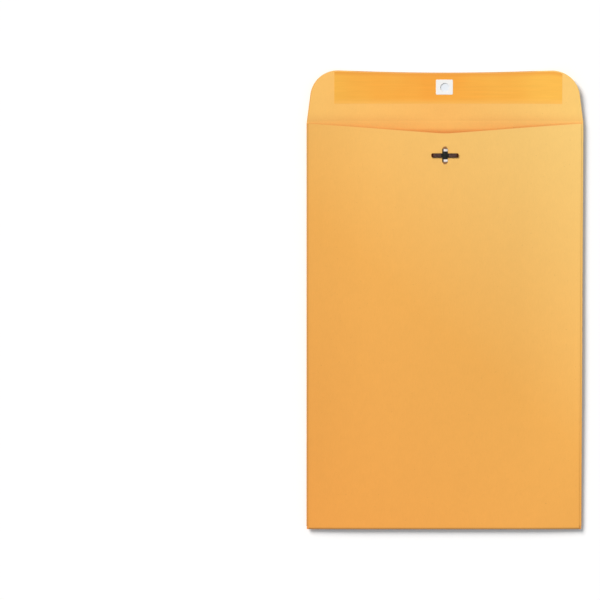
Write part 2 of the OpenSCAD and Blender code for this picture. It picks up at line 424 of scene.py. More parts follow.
@dataclass(frozen=True)
class PatchPaper:
    """Bleached wood-free paper, glued on: cool white and matt, with the finest of fibre."""

    name: str = "bleached white paper patch"
    white: str = "F6F5F2"
    shade: str = "F1F0EE"
    fibre: float = 0.9 * MM
    roughness: float = 0.8
    relief: float = 0.015 * MM

    def material(self) -> bpy.types.Material:
        """Build the patch's material.

        Returns:
            The material.
        """
        material = bpy.data.materials.new(self.name)
        add = start_nodes(material)
        place = add("TexCoord").outputs["Object"]
        fibres = add("TexNoise", {"Scale": 1 / self.fibre, "Detail": 4.0}, {0: place})
        base = add("Mix", {"data_type": "RGBA", 6: linear(self.shade), 7: linear(self.white)}, {0: fibres})
        close_material(
            add, fibres, {"Strength": 0.5, "Distance": self.relief},
            {"Roughness": self.roughness, "IOR": 1.5, "Specular IOR Level": 0.3}, {"Base Color": base},
        )
        return material


@dataclass(frozen=True)
class Tinplate:
    """Stamped tinplate: rolled steel coated with tin, with tin's own bright colour in a band and painted
    dark reflection and shade elsewhere.
    """

    name: str
    # Tin's own colour, the painted dark reflection and shade, and the painted shade at the tips
    bright: str
    dark_reflection_and_shade: str
    tips: str
    # The axis that the piece runs along
    run: str = "Y"
    # Tin's own colour shows between these distances along it from the clasp's middle, and the painted dark
    # beyond
    bright_from: float = 0.0
    bright_to: float = 0.0
    # Across, tin's own colour shows this far to each side of a line that lies off the middle
    bright_half: float = 1.9 * MM
    bright_shift: float = 0.7 * MM
    # How far tin's own colour takes to start, and half of what it takes to end
    start_l: float = 0.5 * MM
    end_l: float = 0.3 * MM
    roughness: float = 0.3
    # Stains: their size, the noise's range, how dark and light they are, and how smooth and rough
    stain: float = 2 * MM
    stain_from: float = 0.2
    stain_to: float = 0.8
    stain_dark: float = 0.75
    stain_light: float = 1.15
    stain_smooth: float = 0.06
    stain_rough: float = 0.1
    # Rolling lines are 0.02 mm apart and would not show: they are drawn at 0.15 mm
    line_w: float = 0.15 * MM
    line_l: float = 3 * MM
    relief: float = 0.004 * MM

    def material(self, middle_y: float) -> bpy.types.Material:
        """Build the metal's material.

        Args:
            middle_y: Place of the clasp's middle along Y.

        Returns:
            The material.
        """
        material = bpy.data.materials.new(self.name)
        add = start_nodes(material)
        place = add("TexCoord").outputs["Object"]
        axes = add("SeparateXYZ", links={0: place}).outputs
        lines = draw_grain(add, place, (self.line_l, self.line_w, self.line_w))
        stain = add("TexNoise", {"Scale": 1 / self.stain, "Detail": 2.0}, {0: place})
        middles = {"X": 0.0, "Y": middle_y}
        cross = "X" if self.run == "Y" else "Y"
        along = distance_from(add, middles[self.run], axes[self.run])
        across = distance_from(add, middles[cross] + self.bright_shift, axes[cross])
        past_bridge, before_bend, inside, at_tips = (
            add("MapRange", {"From Min": start, "From Max": end}, {0: distance})
            for distance, start, end in (
                (along, self.bright_from, self.bright_from + self.start_l),
                (along, self.bright_to, self.bright_to - 2 * self.end_l),
                (across, self.bright_half + self.end_l, self.bright_half - self.end_l),
                (along, self.bright_to - self.end_l, self.bright_to + self.end_l),
            )
        )
        # Tin's own colour in a band, painted dark reflection and shade elsewhere, and painted shade at the
        # tips
        between = add("Math", {"operation": "MULTIPLY"}, {0: past_bridge, 1: before_bend})
        tin_share = add("Math", {"operation": "MULTIPLY"}, {0: between, 1: inside})
        painted_dark = add(
            "Mix", {"data_type": "RGBA", 6: linear(self.dark_reflection_and_shade), 7: linear(self.tips)}, {0: at_tips}
        )
        tin_and_painted_dark = add("Mix", {"data_type": "RGBA", 7: linear(self.bright)}, {0: tin_share, 6: painted_dark})
        shade = add(
            "MapRange",
            {
                "From Min": self.stain_from, "From Max": self.stain_to,
                "To Min": self.stain_dark, "To Max": self.stain_light,
            },
            {0: stain},
        )
        toned = add("HueSaturation", links={"Color": tin_and_painted_dark, "Value": shade})
        rough = add(
            "MapRange",
            {"To Min": self.roughness - self.stain_smooth, "To Max": self.roughness + self.stain_rough},
            {0: stain},
        )
        close_material(
            add, lines, {"Strength": 0.4, "Distance": self.relief},
            {"Metallic": 1.0}, {"Base Color": toned, "Roughness": rough},
        )
        return material


@dataclass(frozen=True)
class GridLine:
    """One line of the folded sheet's grid: the zone it lies in, its place there and its side."""

    zone: Zone
    place: float
    side: int = 0


@dataclass
class FoldedSheet:
    """The envelope: one sheet of kraft, cut, folded and glued, with its flap opened out."""

    body_w: float = 254 * MM
    body_h: float = 381 * MM
    paper_t: float = 0.18 * MM
    fold_gap: float = 0.12 * MM
    glue_t: float = 0.05 * MM
    seam_w: float = 25 * MM
    seam_inset: float = 2 * MM
    seam_slant: float = math.radians(20)
    seam_clear: float = 3 * MM
    throat_angle: float = math.radians(4.1)
    throat_r: float = 80 * MM
    throat_step: float = 1.8 * MM
    gape: float = 6 * MM
    flap_h: float = 47 * MM
    flap_r: float = 25 * MM
    flap_taper: float = 3.3 * MM
    flap_sweep: float = 2.2 * MM
    sweep_end: float = 1 * MM
    hole_d: float = 8.5 * MM
    hole_rise: float = 31 * MM
    # The clasp's anchor, and how much more of the panel is level beside it and below it
    anchor_w: float = 5 * MM
    anchor_l: float = 16.8 * MM
    seat_margin: float = 2 * MM
    seat_below: float = 4 * MM
    # How far the edges stand off the table, where they start to rise, and how the flap bends up
    side_lift: float = 3.9 * MM
    side_flat: float = 66 * MM
    bottom_lift: float = 4.0 * MM
    bottom_flat: float = 150 * MM
    flap_lift: float = 4.2 * MM
    flap_bend: float = 1.4
    # Shares of the flap's lift that its middle and its left corner have
    flap_middle: float = 0.1
    flap_left: float = -0.2
    # Share of their lift that the lower corners have lost
    corner_calm: float = 0.6
    # The lift's ripple along the sides, and the place in the noise that gives its form
    lift_ripple: float = 0.25
    ripple_l: float = 85 * MM
    ripple_x: float = 3.7
    ripple_z: float = 0.4
    # Slow waves in the back panel: their height, reach across and along, and place in the noise
    wave_h: float = 0.25 * MM
    wave_w: float = 75 * MM
    wave_l: float = 120 * MM
    wave_z: float = 7.3
    # The pucker that the clasp presses into it: it is uneven round the clasp by a share, and the
    # waves are at their full height this many times as far out
    pucker_h: float = 0.16 * MM
    pucker_r: float = 9 * MM
    pucker_w: float = 3 * MM
    pucker_lobes: int = 4
    pucker_play: float = 0.3
    wave_start: int = 4
    # The crease is bent open again: a valley this deep that fades over this length
    crease_h: float = 0.05 * MM
    crease_l: float = 2.2 * MM
    # Edge of the pocket's painted shade: its reach past the throat at the left, the right and the
    # middle, how wide the middle is, where the right starts, its reach inwards, and what its ends lose
    shade_left: float = 1.9 * MM
    shade_right: float = 3.6 * MM
    shade_middle: float = 4.6 * MM
    shade_w: float = 28 * MM
    right_from: float = 40 * MM
    right_to: float = 75 * MM
    shade_in: float = 2 * MM
    shade_loss: float = 0.25
    # Painted shade where the flap bends at its crease, beside the middle, and a darker tone along its cut
    # edge
    crease_tone: float = 0.22
    crease_reach: float = 10 * MM
    edge_tone: float = 0.75
    edge_left: float = 0.4
    edge_reach: float = 1.5 * MM
    # Painted shade along the bottom fold, a darker line along the left one, and how far they reach
    fold_shade_bottom: float = 0.6
    fold_dark_left: float = 0.35
    fold_dark_reach: float = 1.6 * MM
    # Cells: the largest on the panels, and the small ones round the clasp and the hole
    cell: float = 4.5 * MM
    fine_cell: float = 1 * MM
    fine_w: float = 16 * MM
    fold_cells: int = 6
    corner_cells: int = 14
    hole_rings: int = 4
    # Power that keeps the drawing in of the flap's grid close to its outline
    draw_in: int = 3

    def __post_init__(self) -> None:
        """Work out the places that follow from the sizes."""
        self.side_ri = self.fold_gap / 2
        self.side_r = self.side_ri + self.paper_t / 2
        self.side_ro = self.side_ri + self.paper_t
        self.bottom_ri = (self.fold_gap + self.paper_t + self.glue_t) / 2
        self.bottom_r = self.bottom_ri + self.paper_t / 2
        self.bottom_ro = self.bottom_ri + self.paper_t
        self.front_x = self.body_w / 2 - self.side_ro
        self.back_x = self.body_w / 2 - self.seam_inset
        self.seam_z = self.paper_t + self.fold_gap
        self.back_z = self.seam_z + self.paper_t + self.glue_t
        self.seam_top = self.body_h - self.seam_clear / 2
        self.seam_bottom = self.seam_clear
        self.clasp_y = self.body_h - self.hole_rise
        self.hole_y = self.body_h + self.hole_rise
        self.seat_x = self.anchor_w / 2 + self.seat_margin
        self.gape_y = self.clasp_y - self.anchor_l / 2 - self.seat_below
        self.corner_x = self.body_w / 2 - self.flap_taper - self.flap_r
        self.corner_y = self.flap_h - self.flap_r
        run = math.hypot(self.front_x - self.corner_x, self.corner_y)
        lean = math.atan2(self.corner_y, self.corner_x - self.front_x) - math.asin(self.flap_r / run)
        length = math.sqrt(run**2 - self.flap_r**2)
        self.tangent_x = self.front_x + length * math.cos(lean)
        self.tangent_y = length * math.sin(lean)
        self.sweep_x = self.corner_x - self.sweep_end
        self.sweep_r = (self.sweep_x**2 + self.flap_sweep**2) / (2 * self.flap_sweep)
        self.shift_y = -(self.body_h + self.flap_h) / 2

    def arch(self, x: float, y: float) -> float:
        """Give the height of the open mouth: it fades to the bottom fold, level under the clasp."""
        across = max(1 - (max(abs(x), self.seat_x) / self.front_x) ** 2, 0.0)
        return self.gape * across * (1 - (1 - min(y / self.gape_y, 1)) ** 2)

    def throat(self, x: float) -> float:
        """Give the throat's edge: two straight flanks joined by an arc.

        Args:
            x: Place across.

        Returns:
            The edge's place from the bottom fold.
        """
        flank = self.back_x * math.tan(self.throat_angle)
        if abs(x) > self.throat_r * math.sin(self.throat_angle):
            depth = flank - abs(x) * math.tan(self.throat_angle)
        else:
            depth = flank - self.throat_r / math.cos(self.throat_angle) + math.sqrt(self.throat_r**2 - x**2)
        return self.body_h - self.throat_step - depth

    def flap_half(self, rise: float) -> float:
        """Give half the flap's width.

        Args:
            rise: Height above the crease.

        Returns:
            Half the width: a straight taper, then the corner's arc.
        """
        if rise <= self.tangent_y:
            return mix(self.front_x, self.tangent_x, rise / self.tangent_y)
        return self.corner_x + math.sqrt(max(self.flap_r**2 - (rise - self.corner_y) ** 2, 0.0))

    def flap_top(self, x: float) -> float:
        """Give the height of the flap's edge above the crease.

        Args:
            x: Place across.

        Returns:
            The height: a wide hollow sweep, a short level stretch, then the corner's arc.
        """
        if abs(x) <= self.sweep_x:
            return self.flap_h - self.flap_sweep + self.sweep_r - math.sqrt(self.sweep_r**2 - x**2)
        if abs(x) <= self.corner_x:
            return self.flap_h
        return self.corner_y + math.sqrt(max(self.flap_r**2 - (abs(x) - self.corner_x) ** 2, 0.0))

    def lift(self, x: float, y: float) -> float:
        """Give the height by which the relaxed sheet stands off the table.

        Args:
            x: Place across.
            y: Place from the bottom fold.

        Returns:
            The lift, which is 0 over the middle of the sheet.
        """
        side = max(0.0, (abs(x) - self.side_flat) / (self.front_x - self.side_flat)) ** 2
        bottom = max(0.0, 1 - y / self.bottom_flat) ** 2
        flap = max(0.0, (y - self.body_h) / self.flap_h) ** self.flap_bend
        spot = Vector((math.copysign(self.ripple_x, x), y / self.ripple_l, self.ripple_z))
        ripple = 1 + self.lift_ripple * noise.noise(spot)
        return (
            self.side_lift * side * ripple * (1 - self.corner_calm * bottom)
            + self.bottom_lift * bottom * (1 - self.corner_calm * side)
            + self.flap_lift * flap * mix(self.flap_middle, self.flap_left if x < 0 else 1, side)
        )

    def shaded(self, x: float, y: float) -> float:
        """Say how deep the painted shade on the inner side is at a place on the front panel or the flap.

        Args:
            x: Place across.
            y: Place from the bottom fold.

        Returns:
            1 inside the pocket, with a soft edge as wide as the mouth stands open, less at the bend
            of the crease, and 0 on the flap.
        """
        middle = math.exp(-((x / self.shade_w) ** 2))
        side = mix(self.shade_left, self.shade_right, smooth(x, self.right_from, self.right_to))
        reach = mix(side, self.shade_middle, middle)
        # Painted shade inside the pocket and at its open mouth
        pocket = 1 - smooth(y - self.throat(x), -self.shade_in, reach)
        pocket *= 1 - self.shade_loss * abs(x) / self.front_x
        # Painted shade where the flap bends at its crease
        bend = self.crease_tone * (1 - middle) * (1 - smooth(y - self.body_h, 0, self.crease_reach))
        return max(pocket, bend)

    def wave(self, x: float, y: float) -> float:
        """Give the back panel's slow waves and the pucker round the clasp.

        Args:
            x: Place across.
            y: Place from the bottom fold.

        Returns:
            The height to add, which is 0 at the folds and under the clasp.
        """
        away = math.hypot(x, y - self.clasp_y)
        turn = math.cos(self.pucker_lobes * math.atan2(y - self.clasp_y, x))
        spot = Vector((x / self.wave_w, y / self.wave_l, self.wave_z))
        start = smooth(away, self.pucker_r, self.wave_start * self.pucker_r)
        pucker = self.pucker_h * math.exp(-(((away - self.pucker_r) / self.pucker_w) ** 2))
        pucker *= 1 - self.pucker_play + self.pucker_play * turn
        return (self.wave_h * noise.noise(spot) * start + pucker) * self.arch(x, y) / self.gape

    def front_height(self, x: float, y: float) -> float:
        """Give the front panel's or the flap's middle height, with a ridge beside the crease."""
        off = abs(y - self.body_h) / self.crease_l
        return self.paper_t / 2 + self.lift(x, y) + self.crease_h * off * math.exp(1 - off)

    def back_height(self, x: float, y: float, layer_z: float) -> float:
        """Give the middle height of the back panel or of the seam that is glued to it."""
        return layer_z + self.paper_t / 2 + self.arch(x, y) + self.wave(x, y) + self.lift(x, y)

    def columns(self) -> list[GridLine]:
        """List the grid's lines across the sheet, from the left seam to the right one.

        Returns:
            The lines, with a seam's reach from its fold and a fold's turn from 0 to 1.
        """
        half = self.fine_w / 2
        near_edge = self.front_x - self.fold_dark_reach
        panel = steps(half, near_edge, self.cell)[1:] + [near_edge, self.front_x]
        middle = steps(-half, half, self.fine_cell) + [half]
        seam = steps(0, self.seam_w, self.cell)[1:] + [self.seam_w]
        turns = [(k + 1) / self.fold_cells for k in range(self.fold_cells)]
        right = [GridLine(Zone.PANEL, x) for x in panel]
        right += [GridLine(Zone.FOLD, turn, 1) for turn in turns]
        right += [GridLine(Zone.SEAM, reach, 1) for reach in seam]
        mirrored = {Zone.PANEL: -1, Zone.FOLD: 1, Zone.SEAM: 1}
        left = [GridLine(line.zone, mirrored[line.zone] * line.place, -1) for line in reversed(right)]
        return left + [GridLine(Zone.PANEL, x) for x in middle] + right

    def rows(self) -> list[GridLine]:
        """List the grid's lines along the sheet, from the flap's edge round to the throat.

        Returns:
            The lines: heights above the crease, places from the bottom fold, and shares of a turn.
        """
        half = self.fine_w / 2
        low, high = self.hole_rise - half, self.hole_rise + half
        first = math.asin((high - self.corner_y) / self.flap_r)
        angles = [mix(math.pi / 2, first, k / self.corner_cells) for k in range(self.corner_cells)]
        crease_end, crease_cell = 3 * self.crease_l, self.crease_l / 3
        flap = [self.corner_y + self.flap_r * math.sin(angle) for angle in angles]
        flap += steps(high, low, self.fine_cell)
        flap += steps(low, crease_end, self.cell)
        flap += steps(crease_end, 0, crease_cell)
        shade_low = self.throat(0) - self.shade_in
        front = steps(self.body_h, self.seam_top, crease_cell)
        front += steps(self.seam_top, shade_low, crease_cell)
        front += steps(shade_low, self.seam_bottom, self.cell)
        front += [self.seam_bottom]
        turns = [k / self.fold_cells for k in range(self.fold_cells)]
        back = [self.bottom_ro] + steps(self.bottom_ro + self.fold_dark_reach, self.gape_y, self.cell)
        mouth = self.throat(0) - self.gape_y
        back += [self.gape_y + y for y in steps(0, mouth, self.fine_cell)] + [self.gape_y + mouth]
        zones = {Zone.FLAP: flap, Zone.FRONT: front, Zone.TURN: turns, Zone.BACK: back}
        return [GridLine(zone, place) for zone, places in zones.items() for place in places]

    def seam_point(self, column: GridLine, row: GridLine) -> Vector:
        """Place a grid point of a side seam, whose ends slant.

        Args:
            column: The line across, with its reach from the fold.
            row: The line along, on the front panel.

        Returns:
            The point.
        """
        slant = column.place * math.tan(self.seam_slant)
        share = (self.seam_top - row.place) / (self.seam_top - self.seam_bottom)
        x = column.side * (self.front_x - column.place)
        y = mix(self.seam_top - slant, self.seam_bottom + slant, share)
        return Vector((x, y, self.back_height(x, y, self.seam_z)))

    def fold_point(self, column: GridLine, row: GridLine) -> Vector:
        """Place a grid point of a side fold, half a turn round the edge.

        Args:
            column: The line across, with its turn.
            row: The line along, on the front panel.

        Returns:
            The point.
        """
        angle = math.pi * (column.place - 0.5)
        x = self.front_x + self.side_r * math.cos(angle)
        z = self.side_ro + self.side_r * math.sin(angle) + self.lift(self.front_x, row.place)
        ridge = self.front_height(0, row.place) - self.paper_t / 2 - self.lift(0, row.place)
        return Vector((column.side * x, row.place, z + ridge * (1 - column.place)))

    def turn_point(self, x: float, row: GridLine) -> Vector:
        """Place a grid point of the bottom fold, where the sheet narrows to the back panel.

        Args:
            x: Place across the front panel.
            row: The line along, with its turn.

        Returns:
            The point.
        """
        angle = math.pi * (row.place - 0.5)
        narrowed = x * mix(1, self.back_x / self.front_x, row.place)
        y = self.bottom_ro - self.bottom_r * math.cos(angle)
        z = self.bottom_ro + self.bottom_r * math.sin(angle) + self.lift(x, self.bottom_ro)
        return Vector((narrowed, y, z))

    def back_point(self, x: float, row: GridLine) -> Vector:
        """Place a grid point of the back panel, up to the throat.

        Args:
            x: Place across the front panel.
            row: The line along.

        Returns:
            The point.
        """
        narrowed = x * self.back_x / self.front_x
        past = max(row.place - self.gape_y, 0) / (self.throat(0) - self.gape_y)
        y = min(row.place, self.gape_y) + past * (self.throat(narrowed) - self.gape_y)
        return Vector((narrowed, y, self.back_height(narrowed, y, self.back_z)))

    def flap_point(self, x: float, row: GridLine) -> Vector:
        """Place a grid point of the flap, drawn in to its outline.

        Args:
            x: Place across the front panel.
            row: The line along, with its height above the crease.

        Returns:
            The point.
        """
        near_edge = (abs(x) / self.front_x) ** self.draw_in
        x = x - math.copysign((self.front_x - self.flap_half(row.place)) * near_edge, x)
        hollow = self.flap_h - self.flap_top(min(abs(x), self.corner_x))
        y = self.body_h + row.place - hollow * (row.place / self.flap_h) ** self.draw_in
        return Vector((x, y, self.front_height(x, y)))

    def point(self, column: GridLine, row: GridLine) -> Vector:
        """Place a point of the sheet's middle surface.

        Args:
            column: The line across.
            row: The line along.

        Returns:
            The point in the part's frame.
        """
        if column.zone is Zone.SEAM:
            spot = self.seam_point(column, row)
        elif column.zone is Zone.FOLD:
            spot = self.fold_point(column, row)
        elif row.zone is Zone.FLAP:
            spot = self.flap_point(column.place, row)
        elif row.zone is Zone.FRONT:
            spot = Vector((column.place, row.place, self.front_height(column.place, row.place)))
        elif row.zone is Zone.TURN:
            spot = self.turn_point(column.place, row)
        else:
            spot = self.back_point(column.place, row)
        return spot + Vector((0, self.shift_y, 0))

    def shade_at(self, column: GridLine, row: GridLine) -> float:
        """Give the painted shade's value at a point of the grid.

        Args:
            column: The line across.
            row: The line along.

        Returns:
            The depth of the painted shade: little on the flap, and 1 in the pocket.
        """
        if row.zone is Zone.FLAP:
            # A darker tone along the flap's cut edge
            edge = self.edge_tone * (1 - smooth(self.flap_h - row.place, 0, self.edge_reach))
            edge *= smooth(self.corner_x - abs(column.place), 0, self.flap_r / 2)
            if column.place == -self.front_x:
                edge = self.edge_left
            return max(edge, self.shaded(column.place, self.body_h + row.place))
        if row.zone is Zone.FRONT:
            return self.shaded(column.place if column.zone is Zone.PANEL else self.front_x, row.place)
        return 1.0

    def fold_dark_at(self, column: GridLine, row: GridLine) -> float:
        """Give how much darker the folds are painted at a point of the grid.

        Args:
            column: The line across.
            row: The line along.

        Returns:
            Its depth on the bottom fold and the left side fold, and 0 off them.
        """
        # Painted shade along the bottom fold
        if row.zone is Zone.TURN or (row.zone is Zone.BACK and row.place == self.bottom_ro):
            return self.fold_shade_bottom
        # A darker line along the left side fold
        if column.zone is Zone.FOLD and column.side < 0:
            return self.fold_dark_left
        return 0.0

    def has_paper(self, columns: list[GridLine], rows: list[GridLine]) -> bool:
        """Say whether a cell holds paper: the panels do, and the folds and seams beside the front."""
        beside_front = all(r.zone is Zone.FRONT and r.place <= self.seam_top + ROUNDING for r in rows)
        return beside_front or all(column.zone is Zone.PANEL for column in columns)

    def hole_square(self, columns: list[GridLine], rows: list[GridLine]) -> tuple[int, int, int, int]:
        """Find the square of the grid that the hole is punched in.

        Args:
            columns: The lines across.
            rows: The lines along.

        Returns:
            The numbers of its first and last line across, and of its first and last line along.
        """
        half = self.fine_w / 2 + ROUNDING
        across = [i for i, c in enumerate(columns) if c.zone is Zone.PANEL and abs(c.place) <= half]
        along = [
            j for j, r in enumerate(rows) if r.zone is Zone.FLAP and abs(r.place - self.hole_rise) <= half
        ]
        return across[0], across[-1], along[0], along[-1]

    def punch_hole(self, mesh: bmesh.types.BMesh, border: list[bmesh.types.BMVert]) -> None:
        """Fill the square round the hole with rings of cells.

        Args:
            mesh: The sheet's mesh.
            border: The square's border, clockwise from its upper left corner.
        """
        middle = Vector((0, self.hole_y + self.shift_y, 0))
        count = len(border)
        ring = border
        for k in range(self.hole_rings - 1, -1, -1):
            inner = []
            for n, corner in enumerate(border):
                angle = math.radians(135) - 2 * math.pi * n / count
                rim = middle + Vector((math.cos(angle), math.sin(angle), 0)) * self.hole_d / 2
                spot = rim.lerp(corner.co, k / self.hole_rings)
                spot.z = self.front_height(spot.x, spot.y - self.shift_y)
                inner.append(mesh.verts.new(spot))
            for n in range(count):
                m = (n + 1) % count
                mesh.faces.new((ring[n], ring[m], inner[m], inner[n])).normal_flip()
            ring = inner

    def build(self) -> bpy.types.Object:
        """Fold the sheet from its grid and punch the flap's hole.

        Returns:
            The envelope, with slots for the outer face, the inner face and the cut edges.
        """
        columns, rows = self.columns(), self.rows()
        left, right, top, low = self.hole_square(columns, rows)
        mesh = bmesh.new()
        shade = mesh.verts.layers.float.new(SHADED)
        fold_dark = mesh.verts.layers.float.new(DARKER_FOLDS)
        made: dict[tuple[int, int], bmesh.types.BMVert] = {}

        def vertex(i: int, j: int) -> bmesh.types.BMVert:
            """Make or find the vertex of a grid point.

            Args:
                i: Number of the line across.
                j: Number of the line along.

            Returns:
                The vertex.
            """
            if (i, j) not in made:
                made[i, j] = mesh.verts.new(self.point(columns[i], rows[j]))
                made[i, j][shade] = self.shade_at(columns[i], rows[j])
                made[i, j][fold_dark] = self.fold_dark_at(columns[i], rows[j])
            return made[i, j]

        for j in range(len(rows) - 1):
            for i in range(len(columns) - 1):
                punched = left <= i < right and top <= j < low
                if not punched and self.has_paper(columns[i:i + 2], rows[j:j + 2]):
                    mesh.faces.new((vertex(i, j), vertex(i + 1, j), vertex(i + 1, j + 1), vertex(i, j + 1)))
        border = [vertex(i, top) for i in range(left, right)]
        border += [vertex(right, j) for j in range(top, low)]
        border += [vertex(i, low) for i in range(right, left, -1)]
        border += [vertex(left, j) for j in range(low, top, -1)]
        self.punch_hole(mesh, border)
        bmesh.ops.recalc_face_normals(mesh, faces=mesh.faces)
        piece = new_piece("envelope_sheet", mesh)
        thicken(piece, self.paper_t, slots=3)
        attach(piece, "sheet")
        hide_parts("envelope")
        return piece

    def dress(self, piece: bpy.types.Object) -> None:
        """Give the sheet its outer face, inner face and cut edges.

        Args:
            piece: The envelope.
        """
        # Painted light: each paper's tone turns from deep to pale across it. The outer side is painted
        # darker along its folds, with painted shade on the bottom fold; the inner side has painted shade in
        # the pocket
        outer = KraftPaper(
            "kraft paper, machine finished", "E99A40", "EDAB4F", "F6CF7A",
            darker_colour="5A4636", darker_by=DARKER_FOLDS,
        )
        inner = KraftPaper(
            "kraft paper, inner side", "FDC367", "F7B85F", "F6C86F", roughness=0.72,
            turn_across=1.0, turn_along=0.0, turn_middle=0.5, darker_colour="DA8D41",
        )
        # The cut edges are coloured darker than the faces, partly their own colour and partly painted shade
        # at the edges
        edge = KraftPaper("kraft paper, cut edge", "C98436", "D0903F", "D89C4C", roughness=0.85)
        length = self.body_h + self.flap_h
        paint(piece, [paper.material(self.body_w, length) for paper in (outer, inner, edge)])


@dataclass
class FlapGum:
    """The band of dried gum on the flap's inner side, with a window round the patch."""

    sheet: FoldedSheet
    width: float = 209 * MM
    shift: float = 3 * MM
    start: float = 16 * MM
    margin: float = 1.2 * MM
    film_t: float = 0.04 * MM
    window_w: float = 16.2 * MM
    window_h: float = 14.6 * MM
    window_shift: float = 0.4 * MM
    window_aside: float = 0.6 * MM
    # Cells: their width, and their height as a share of the band's
    cell: float = 3 * MM
    cell_share: float = 0.1

    def rise(self, x: float, share: float) -> float:
        """Give the height above the crease at a share of the way up the band."""
        return mix(self.start, self.sheet.flap_top(x) - self.margin, share)

    def build(self) -> bpy.types.Object:
        """Lay the film on the flap.

        Returns:
            The gum.
        """
        sheet = self.sheet
        left_side, right_side = (side * self.window_w / 2 - self.window_aside for side in (-1, 1))
        left_end, right_end = self.shift - self.width / 2, self.shift + self.width / 2
        left = [left_end] + list(reversed(steps(left_side, left_end, self.cell)))
        across = left + steps(right_side, right_end, self.cell) + [right_end]
        low = sheet.hole_rise + self.window_shift - self.window_h / 2
        high = low + self.window_h
        full = sheet.flap_top(0) - self.margin - self.start
        marks = [0.0, (low - self.start) / full, (high - self.start) / full, 1.0]
        up = [share for a, b in zip(marks, marks[1:]) for share in steps(a, b, self.cell_share)] + [1.0]
        mesh = bmesh.new()
        way_up = mesh.verts.layers.float.new(UP_BAND)
        grid = []
        for share in up:
            row = []
            for x in across:
                y = sheet.body_h + self.rise(x, share)
                z = sheet.front_height(x, y) + (sheet.paper_t + self.film_t) / 2
                row.append(mesh.verts.new((x, y + sheet.shift_y, z)))
                row[-1][way_up] = share
            grid.append(row)
        for j in range(len(up) - 1):
            for i in range(len(across) - 1):
                in_window = i == len(left) - 1 and marks[1] - ROUNDING < (up[j] + up[j + 1]) / 2 < marks[2]
                if not in_window:
                    mesh.faces.new((grid[j][i], grid[j][i + 1], grid[j + 1][i + 1], grid[j + 1][i]))
        piece = new_piece("flap_gum_film", mesh)
        thicken(piece, self.film_t)
        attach(piece, "sheet")
        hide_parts("flap_gum")
        return piece

    def dress(self, piece: bpy.types.Object) -> None:
        """Give the film its finish."""
        low_y = self.sheet.body_h + self.sheet.shift_y + self.start
        paint(piece, [DriedGum().material(low_y)])


@dataclass
class HolePatch:
    """The white paper patch that strengthens the flap's hole."""

    sheet: FoldedSheet
    width: float = 15.4 * MM
    height: float = 13.8 * MM
    shift: float = 0.4 * MM
    aside: float = 0.6 * MM
    paper_t: float = 0.12 * MM
    corner_r: float = 0.8 * MM
    rings: int = 6
    points: int = 96
    # How many times the search for the outline halves its range
    halvings: int = 40

    def outline(self, angle: float) -> Vector:
        """Place a point of the patch's outline, from the hole's middle.

        Args:
            angle: Direction of the point, in radians.

        Returns:
            The point where a ray from the hole meets the rounded rectangle.
        """
        ray = Vector((math.cos(angle), math.sin(angle)))
        low, high = 0.0, self.width
        for _ in range(self.halvings):
            reach = (low + high) / 2
            over_x = abs(ray.x * reach + self.aside) - (self.width / 2 - self.corner_r)
            over_y = abs(ray.y * reach - self.shift) - (self.height / 2 - self.corner_r)
            outside = math.hypot(max(over_x, 0), max(over_y, 0)) > self.corner_r
            low, high = (low, reach) if outside else (reach, high)
        return ray * low

    def build(self) -> bpy.types.Object:
        """Cut the patch and lay it on the flap round the hole.

        Returns:
            The patch.
        """
        sheet = self.sheet
        mesh = bmesh.new()
        rings = []
        for k in range(self.rings + 1):
            ring = []
            for n in range(self.points):
                angle = 2 * math.pi * n / self.points
                rim = Vector((math.cos(angle), math.sin(angle))) * sheet.hole_d / 2
                spot = rim.lerp(self.outline(angle), k / self.rings)
                y = sheet.hole_y + spot.y
                z = sheet.front_height(spot.x, y) + (sheet.paper_t + self.paper_t) / 2
                ring.append(mesh.verts.new((spot.x, y + sheet.shift_y, z)))
            rings.append(ring)
        for inner, outer in zip(rings, rings[1:]):
            for n in range(self.points):
                m = (n + 1) % self.points
                mesh.faces.new((inner[n], outer[n], outer[m], inner[m]))
        piece = new_piece("hole_patch_paper", mesh)
        thicken(piece, self.paper_t)
        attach(piece, "sheet")
        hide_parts("hole_patch")
        return piece

    def dress(self, piece: bpy.types.Object) -> None:
        """Give the patch its finish."""
        paint(piece, [PatchPaper().material()])


